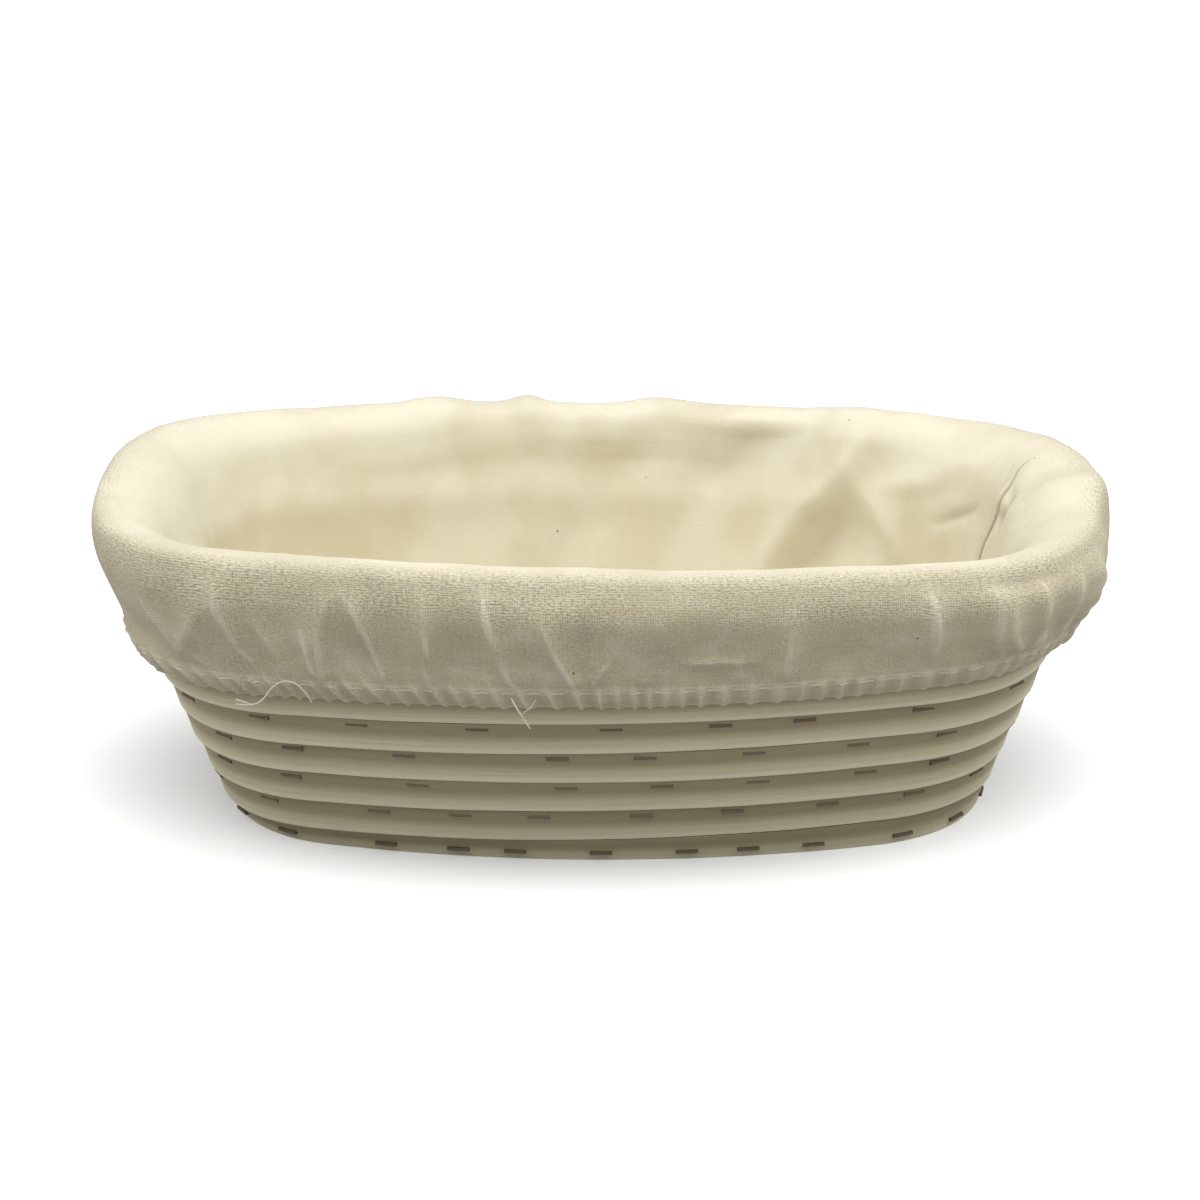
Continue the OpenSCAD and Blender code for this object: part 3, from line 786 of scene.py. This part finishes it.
class Nodes:
    """Short ways to add and join nodes of one tree."""

    def __init__(self, tree):
        self.tree = tree

    def add(self, kind, **values):
        node = self.tree.nodes.new(kind)
        for name, value in values.items():
            setattr(node, name, value)
        return node

    def join(self, source, target):
        self.tree.links.new(source, target)

    def feed(self, socket, value):
        """Give a socket a value, or join another socket to it."""
        if isinstance(value, bpy.types.NodeSocket):
            self.join(value, socket)
        else:
            socket.default_value = value

    def fill(self, sockets, values):
        """Give named sockets their values, or join other sockets to them."""
        for name, value in values.items():
            self.feed(sockets[name], value)

    def math(self, operation, first, second=0.0):
        node = self.add("ShaderNodeMath", operation=operation)
        self.feed(node.inputs[0], first)
        self.feed(node.inputs[1], second)
        return node.outputs[0]

    def times(self, first, second):
        return self.math("MULTIPLY", first, second)

    def stretched(self, vector, scale):
        """The vector with each part scaled."""
        node = self.add("ShaderNodeVectorMath", operation="MULTIPLY")
        self.join(vector, node.inputs[0])
        node.inputs[1].default_value = scale
        return node.outputs[0]

    def noise(self, vector, scale, detail):
        node = self.add("ShaderNodeTexNoise")
        self.fill(node.inputs, {"Vector": self.stretched(vector, scale), "Scale": 1.0, "Detail": detail,
                                "Roughness": NOISE_ROUGHNESS})
        return node.outputs["Fac"]

    def range(self, value, low, high, to_low=0.0, to_high=1.0):
        node = self.add("ShaderNodeMapRange", interpolation_type="SMOOTHSTEP")
        self.fill(node.inputs, {
            "Value": value, "From Min": low, "From Max": high, "To Min": to_low, "To Max": to_high})
        return node.outputs["Result"]

    def mix(self, share, first, second):
        node = self.add("ShaderNodeMix", data_type="RGBA")
        self.feed(node.inputs["Factor"], share)
        for name, value in (("A", first), ("B", second)):
            socket = next(s for s in node.inputs if s.name == name and s.type == "RGBA")
            self.feed(socket, value if isinstance(value, bpy.types.NodeSocket) else (*value, 1.0))
        return next(s for s in node.outputs if s.type == "RGBA")

    def bump(self, height, strength, distance):
        node = self.add("ShaderNodeBump")
        self.fill(node.inputs, {"Strength": strength, "Distance": distance, "Height": height})
        return node.outputs["Normal"]

    def parts(self, vector):
        """The vector's X, Y and Z."""
        node = self.add("ShaderNodeSeparateXYZ")
        self.join(vector, node.inputs[0])
        return node.outputs

    def own_map(self):
        """Places on the piece's own map, in metres along and across it."""
        return self.add("ShaderNodeUVMap", uv_map="along").outputs["UV"]

    def on_object(self):
        return self.add("ShaderNodeTexCoord").outputs["Object"]


def new_group(name, inputs, outputs):
    """Empty shader node group with inputs of given kinds and outputs of numbers, and its inner sockets."""
    tree = bpy.data.node_groups.new(name, "ShaderNodeTree")
    for socket, kind in inputs.items():
        tree.interface.new_socket(name=socket, in_out="INPUT", socket_type=kind)
    for socket in outputs:
        tree.interface.new_socket(name=socket, in_out="OUTPUT", socket_type="NodeSocketFloat")
    nodes = Nodes(tree)
    return nodes, nodes.add("NodeGroupInput").outputs, nodes.add("NodeGroupOutput").inputs


def place_group(nodes, group, values):
    node = nodes.add("ShaderNodeGroup", node_tree=group)
    nodes.fill(node.inputs, values)
    return node.outputs


def new_material(name):
    """Material with its Principled BSDF, and a helper for its nodes."""
    material = bpy.data.materials.new(name)
    material.use_nodes = True
    nodes = Nodes(material.node_tree)
    return material, nodes, material.node_tree.nodes["Principled BSDF"].inputs


def weave_group():
    """Plain weave on a map in metres: height of the threads, their slubs, the gaps and dark flecks."""
    nodes, given, out = new_group(
        "Plain weave", {"Vector": "NodeSocketVector", "Threads per metre": "NodeSocketFloat"},
        ["Height", "Slub", "Gap", "Fleck"])
    vector = given["Vector"]
    sway = nodes.noise(vector, (90, 90, 90), detail=2)
    scaled = nodes.add("ShaderNodeVectorMath", operation="SCALE")
    nodes.join(vector, scaled.inputs[0])
    nodes.join(given["Threads per metre"], scaled.inputs["Scale"])
    parts = nodes.parts(scaled.outputs[0])
    along, across = (nodes.math("ADD", parts[axis], nodes.times(sway, 3.0)) for axis in "XY")

    def thread(first, second, shift):
        """Threads that cross the first direction and dive under every other one."""
        ridge = nodes.math("ABSOLUTE", nodes.math("SINE", nodes.times(first, math.pi)))
        row = nodes.math("ADD", nodes.math("FLOOR", first), shift)
        dive = nodes.math("SINE", nodes.times(nodes.math("ADD", second, row), math.pi))
        return nodes.times(ridge, nodes.math("MULTIPLY_ADD", dive, 0.5))

    warp = thread(along, across, 0.0)
    weft = thread(across, along, 1.0)
    slub_weft = nodes.noise(vector, (60, 1500, 1), detail=2)
    slub_warp = nodes.noise(vector, (1500, 60, 1), detail=2)
    slub = nodes.math("ADD", nodes.times(slub_weft, 0.62), nodes.times(slub_warp, 0.38))
    threads = nodes.math("MAXIMUM", warp, weft)
    cells = nodes.add("ShaderNodeTexVoronoi", feature="F1")
    nodes.fill(cells.inputs, {"Vector": nodes.stretched(vector, (150, 150, 1)), "Scale": 1.0})
    near = nodes.range(cells.outputs["Distance"], 0.065, 0.02)
    chosen = nodes.math("GREATER_THAN", cells.outputs["Color"], 0.72)
    nodes.fill(out, {
        "Height": nodes.math("ADD", threads, nodes.times(slub, 0.6)), "Slub": slub,
        "Gap": nodes.range(threads, 0.4, 0.1), "Fleck": nodes.times(near, chosen)})
    return nodes.tree


def grain_group():
    """Long fibres of cane on a map in metres: streaks, broad tones, pores and height."""
    nodes, given, out = new_group(
        "Cane fibres", {"Vector": "NodeSocketVector"}, ["Streak", "Tone", "Pore", "Height"])
    vector = given["Vector"]
    fine = nodes.noise(vector, (22, 2600, 1), detail=3)
    broad = nodes.noise(vector, (9, 520, 1), detail=3)
    patch = nodes.noise(vector, (26, 90, 1), detail=2)
    pores = nodes.range(nodes.noise(vector, (210, 3200, 1), detail=1), 0.62, 0.74)
    streak = nodes.math("ADD", nodes.times(fine, 0.6), nodes.times(broad, 0.4))
    nodes.fill(out, {
        "Streak": nodes.range(streak, 0.34, 0.66), "Tone": patch, "Pore": pores,
        "Height": nodes.math("SUBTRACT", streak, nodes.times(pores, 0.25))})
    return nodes.tree


WEAVE = weave_group()
GRAIN = grain_group()

# Colours, as linear light
COTTON = (0.79, 0.75, 0.59)
COTTON_DARK = (0.65, 0.58, 0.40)
COTTON_SKIRT_TONE_AND_SHADE = (0.78, 0.71, 0.51)
COTTON_PATCH_AND_SHADE = (0.50, 0.45, 0.33)
COTTON_GAP_AND_GRAIN_SHADOW = (0.33, 0.285, 0.19)
COTTON_WEAR_AND_HIGHLIGHT = (0.88, 0.83, 0.66)
FLECK = (0.25, 0.18, 0.10)
CANE_PALE = (0.83, 0.78, 0.555)
CANE_TAN = (0.72, 0.66, 0.435)
CANE_PORE = (0.33, 0.255, 0.155)
CANE_LIP_HIGHLIGHT = (0.94, 0.89, 0.67)
CANE_SHADE = (0.32, 0.265, 0.15)
WIRE = (0.10, 0.080, 0.050)
WIRE_RUST = (0.17, 0.125, 0.075)
THREAD = (0.84, 0.82, 0.76)


# Distances up the side panel from the floor's seam, in metres, between which the cloth's look changes
OUTSIDE_RUN = (0.076, 0.092)
OVER_CANE_RUN = (0.0835, 0.094)
PAST_CREST_RUN = (0.0825, 0.0875)
GRAZING_LIGHT_END_RUN = (0.093, 0.106)
CREST_START_RUN = (0.072, 0.079)
CREST_END_RUN = (0.0885, 0.0835)
INNER_SHADE_RUN = (0.080, 0.066)


def cotton_material():
    """Uneven plain weave, more open outside, with painted shade down the inside, in pockets and in hollows,
    and painted highlights on the crest, on creases and ridges, and on the grain just past the crest.
    """
    material, nodes, shader = new_material("Unbleached cotton")
    place = nodes.own_map()
    weave = place_group(nodes, WEAVE, {"Vector": place, "Threads per metre": 1600.0})
    painted_light = nodes.add("ShaderNodeAttribute", attribute_name="painted_light").outputs["Fac"]
    up = nodes.parts(place)["Y"]
    outside = nodes.range(up, *OUTSIDE_RUN, 0.15, 1.0)
    speck = nodes.noise(place, (1300, 1300, 1), detail=1)
    tone = nodes.noise(place, (34, 34, 1), detail=3)
    thin = nodes.times(nodes.range(weave["Slub"], 0.62, 0.38, 0.0, 0.5), outside)
    # The skirt outside takes its own colour, a little darker and yellower than the crest's, partly painted
    # shade below the rim
    over_cane = nodes.range(up, *OVER_CANE_RUN)
    colour = nodes.mix(over_cane, COTTON, COTTON_SKIRT_TONE_AND_SHADE)
    colour = nodes.mix(thin, colour, COTTON_DARK)
    patch = nodes.noise(place, (75, 110, 1), detail=4)
    bare = nodes.times(nodes.range(patch, 0.35, 0.6, 1.0, 0.4), outside)
    sunken = nodes.times(nodes.range(patch, 0.48, 0.3, 0.0, 0.3), outside)
    colour = nodes.mix(sunken, colour, COTTON_PATCH_AND_SHADE)
    open_gap = nodes.times(weave["Gap"], nodes.range(speck, 0.62, 0.4))
    colour = nodes.mix(nodes.times(open_gap, bare), colour, COTTON_GAP_AND_GRAIN_SHADOW)
    wear_and_highlight = nodes.times(nodes.range(patch, 0.5, 0.7, 0.0, 0.6), outside)
    colour = nodes.mix(wear_and_highlight, colour, COTTON_WEAR_AND_HIGHLIGHT)
    # Just past the crest the grain gets painted small shadows and highlights, as grazing light would give
    grain = nodes.noise(place, (1000, 2500, 1), detail=1)
    past_crest = nodes.range(up, *PAST_CREST_RUN)
    grazing_light = nodes.times(past_crest, nodes.range(up, *GRAZING_LIGHT_END_RUN, 1.0, 0.3))
    grain_shadow = nodes.times(nodes.range(grain, 0.54, 0.32, 0.0, 0.6), grazing_light)
    colour = nodes.mix(grain_shadow, colour, COTTON_GAP_AND_GRAIN_SHADOW)
    grain_highlight = nodes.times(nodes.range(grain, 0.51, 0.7, 0.0, 0.5), grazing_light)
    colour = nodes.mix(grain_highlight, colour, COTTON_WEAR_AND_HIGHLIGHT)
    # Painted highlight along the crest
    crest = nodes.times(nodes.range(up, *CREST_START_RUN), nodes.range(up, *CREST_END_RUN, 0.0, 0.5))
    colour = nodes.mix(crest, colour, COTTON_WEAR_AND_HIGHLIGHT)
    # Painted shade down the inside, mixed with a tone that differs at random
    inner = nodes.range(up, *INNER_SHADE_RUN, 0.0, 0.35)
    tone_and_inner_shade = nodes.math("ADD", nodes.range(tone, 0.33, 0.67, -0.2, 0.45), inner)
    colour = nodes.mix(nodes.math("MAXIMUM", tone_and_inner_shade, 0.0), colour, COTTON_DARK)
    pale_speck = nodes.times(nodes.range(speck, 0.6, 0.78, 0.0, 0.6), outside)
    colour = nodes.mix(pale_speck, colour, COTTON_WEAR_AND_HIGHLIGHT)
    # The vertex attribute's painted highlight above 0 and painted shade below 0
    colour = nodes.mix(nodes.range(painted_light, 0.08, 0.8, 0.0, 0.85), colour, COTTON_WEAR_AND_HIGHLIGHT)
    colour = nodes.mix(nodes.range(painted_light, 0.0, -0.5, 0.0, 0.9), colour, COTTON_PATCH_AND_SHADE)
    colour = nodes.mix(weave["Fleck"], colour, FLECK)
    height = nodes.times(nodes.math("ADD", weave["Height"], nodes.times(speck, 2.0)), outside)
    nodes.fill(shader, {
        "Base Color": colour, "Roughness": 0.92, "Specular IOR Level": 0.2, "Sheen Weight": 0.12,
        "Sheen Roughness": 0.5, "Normal": nodes.bump(height, 0.5, 0.0003)})
    return material


# Distances round the cane's outline from its outer foot, in metres
CANE_LIP_RUN = (0.0024, 0.0008)
CANE_SHADE_RUN = (0.0022, 0.0063)


def cane_material(name, on_map):
    """Bleached cane, with its fibres along the piece's own map or along X. On its own map each course has a
    painted highlight on its lower lip and painted shade on its upper part, under the course above.
    """
    material, nodes, shader = new_material(name)
    place = nodes.own_map() if on_map else nodes.on_object()
    fibres = place_group(nodes, GRAIN, {"Vector": place})
    colour = nodes.mix(fibres["Streak"], CANE_TAN, CANE_PALE)
    colour = nodes.mix(nodes.range(fibres["Tone"], 0.35, 0.75, 0.0, 0.35), colour, CANE_TAN)
    colour = nodes.mix(nodes.times(fibres["Pore"], 0.25), colour, CANE_PORE)
    if on_map:
        around = nodes.parts(place)["Y"]
        # Painted highlight on each course's lower lip, and painted shade on its upper part under the course
        # above
        lip_highlight = nodes.range(around, *CANE_LIP_RUN)
        colour = nodes.mix(nodes.times(lip_highlight, 0.95), colour, CANE_LIP_HIGHLIGHT)
        colour = nodes.mix(nodes.range(around, *CANE_SHADE_RUN, 0.0, 0.78), colour, CANE_SHADE)
    nodes.fill(shader, {
        "Base Color": colour, "Roughness": nodes.range(fibres["Streak"], 0.0, 1.0, 0.72, 0.55),
        "Specular IOR Level": 0.3, "Normal": nodes.bump(fibres["Height"], 0.35, 0.0002)})
    return material


def wire_material():
    material, nodes, shader = new_material("Tarnished wire")
    place = nodes.on_object()
    patch = nodes.noise(place, (700, 700, 700), detail=3)
    nodes.fill(shader, {
        "Base Color": nodes.mix(nodes.range(patch, 0.4, 0.7), WIRE, WIRE_RUST), "Metallic": 0.35,
        "Roughness": nodes.range(patch, 0.3, 0.7, 0.45, 0.75), "Normal": nodes.bump(patch, 0.4, 0.0001)})
    return material


def thread_material(name):
    """Twisted cotton thread, on the piece's own map."""
    material, nodes, shader = new_material(name)
    place = nodes.own_map()
    weave = place_group(nodes, WEAVE, {"Vector": place, "Threads per metre": 2600.0})
    nodes.fill(shader, {
        "Base Color": nodes.mix(weave["Slub"], COTTON_WEAR_AND_HIGHLIGHT, THREAD), "Roughness": 0.85,
        "Sheen Weight": 0.15, "Normal": nodes.bump(weave["Height"], 0.5, 0.0001)})
    return material


# Pieces

cotton = cotton_material()
cane = cane_material("Bleached cane", True)
cane_core = cane_material("Bleached cane core", False)
wire = wire_material()
thread = thread_material("Cotton thread")
elastic = thread_material("Woven elastic")

WALL_END = JOINT_TURN - JOINT_GAP
make_cane("lower_wall_coil", wall_cane(WALL_START, WALL_END), WALL_END - WALL_START, WALL_OUTLINE, cane)
make_cane("upper_wall_coil", wall_cane(JOINT_TURN, TAIL_END), TAIL_END - JOINT_TURN, WALL_OUTLINE, cane)
make_cane("base_coil", floor_cane, BASE_END - BASE_START, FLOOR_OUTLINE, cane)
make_side_panel(cotton)
make_floor_panel(cotton)
make_side_seam(cotton)
make_floor_seam(thread)
make_elastic(elastic)
make_stitching(thread)

for node_name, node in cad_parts.items():
    if "staples" in node_name or node_name == "base_core":
        node.data.materials.clear()
        node.data.materials.append(cane_core if node_name == "base_core" else wire)

# Floor, light and camera

FLOOR_GREY = (0.38, 0.38, 0.38)
FLOOR_SEEN = (0.52, 0.52, 0.52)
FLOOR_GLOW_NEAR = 0.22
FLOOR_GLOW_FAR = 0.80
SHADOW_MIDDLE = Vector((-0.006, 0.02, 0))
SHADOW_SCALE = Vector((1 / 0.160, 1 / 0.105, 0))
LIGHT_AIM = Vector((0, 0, 0.05))


def seen_directly(nodes):
    """1 for rays that show the background itself or mirror it, and 0 for those that carry its light."""
    rays = nodes.add("ShaderNodeLightPath").outputs
    mirrored = nodes.math("MAXIMUM", rays["Is Glossy Ray"], rays["Is Transmission Ray"])
    return nodes.math("MAXIMUM", rays["Is Camera Ray"], mirrored)


def make_floor():
    """Pale floor that looks white away from the basket, where its glow is full. Nearer the basket the glow
    is weaker, which paints a darker oval round its foot on top of its real shadow.
    """
    shape = bmesh.new()
    bmesh.ops.create_grid(shape, x_segments=1, y_segments=1, size=4000)
    material, nodes, shader = new_material("Pale floor")
    camera = nodes.add("ShaderNodeLightPath").outputs["Is Camera Ray"]
    away = nodes.add("ShaderNodeVectorMath", operation="DISTANCE")
    nodes.join(nodes.stretched(nodes.on_object(), SHADOW_SCALE), away.inputs[0])
    away.inputs[1].default_value = SHADOW_MIDDLE * SHADOW_SCALE
    # The glow is weaker in an oval round the basket's foot, a painted shadow over the real one
    glow = nodes.range(away.outputs["Value"], 0.5, 1.02, FLOOR_GLOW_NEAR, FLOOR_GLOW_FAR)
    nodes.fill(shader, {
        "Base Color": nodes.mix(camera, FLOOR_GREY, FLOOR_SEEN), "Roughness": 0.9, "Specular IOR Level": 0.0,
        "Emission Color": (1, 1, 1, 1), "Emission Strength": nodes.times(seen_directly(nodes), glow)})
    floor = finish_mesh(shape, "floor", material)


def make_light(name, place, size, power):
    lamp = bpy.data.lights.new(name, "AREA")
    lamp.size = size
    lamp.energy = power
    light = bpy.data.objects.new(name, lamp)
    light.location = place
    light.rotation_euler = (LIGHT_AIM - Vector(place)).to_track_quat("-Z", "Y").to_euler()
    bpy.context.collection.objects.link(light)


def make_world(strength):
    world = bpy.data.worlds.new("Soft room")
    world.use_nodes = True
    background = world.node_tree.nodes["Background"].inputs
    nodes = Nodes(world.node_tree)
    seen = seen_directly(nodes)
    nodes.join(nodes.mix(seen, (1.0, 0.97, 0.90), (1.0, 1.0, 1.0)), background["Color"])
    nodes.join(nodes.math("MAXIMUM", seen, strength), background["Strength"])
    bpy.context.scene.world = world


# Camera fitted to the photograph: focal length in pixels of its 1200-pixel frame, metres and degrees
PHOTO_SIDE = 1200
FOCAL_PIXELS = 4228.7
CAMERA_DISTANCE = 1.07048
CAMERA_AIM_Z = 0.040
CAMERA_ELEVATION = math.radians(19.793)
CAMERA_PITCH = math.radians(19.195)
CAMERA_YAW = math.radians(-0.031)
CAMERA_ROLL = math.radians(-0.556)
CAMERA_AZIMUTH = math.radians(-1.113)


def make_camera():
    data = bpy.data.cameras.new("camera")
    data.sensor_width = 36
    data.lens = FOCAL_PIXELS / PHOTO_SIDE * data.sensor_width
    data.clip_end = 20
    camera = bpy.data.objects.new("camera", data)
    bpy.context.collection.objects.link(camera)
    level = Vector((math.sin(CAMERA_YAW), math.cos(CAMERA_YAW), 0))
    look = level * math.cos(CAMERA_PITCH) - Vector((0, 0, math.sin(CAMERA_PITCH)))
    right = Vector((level.y, -level.x, 0))
    right = right * math.cos(CAMERA_ROLL) + right.cross(look) * math.sin(CAMERA_ROLL)
    up = right.cross(look)
    turned = Matrix((right, up, -look)).transposed().to_4x4()
    reach = CAMERA_DISTANCE * math.cos(CAMERA_ELEVATION)
    turned.translation = (0, -reach, CAMERA_AIM_Z + CAMERA_DISTANCE * math.sin(CAMERA_ELEVATION))
    camera.matrix_world = Matrix.Rotation(-CAMERA_AZIMUTH, 4, "Z") @ turned
    bpy.context.scene.camera = camera


make_floor()
make_light("overhead", (0, -0.10, 0.95), 1.7, 9.6)
make_light("front", (0, -0.66, 1.00), 1.4, 4.2)
make_light("left", (-0.78, -0.15, 0.72), 0.7, 2.9)
make_light("right", (0.78, -0.15, 0.72), 0.7, 3.3)
make_world(0.13)
make_camera()
bpy.context.scene.view_settings.view_transform = "Standard"
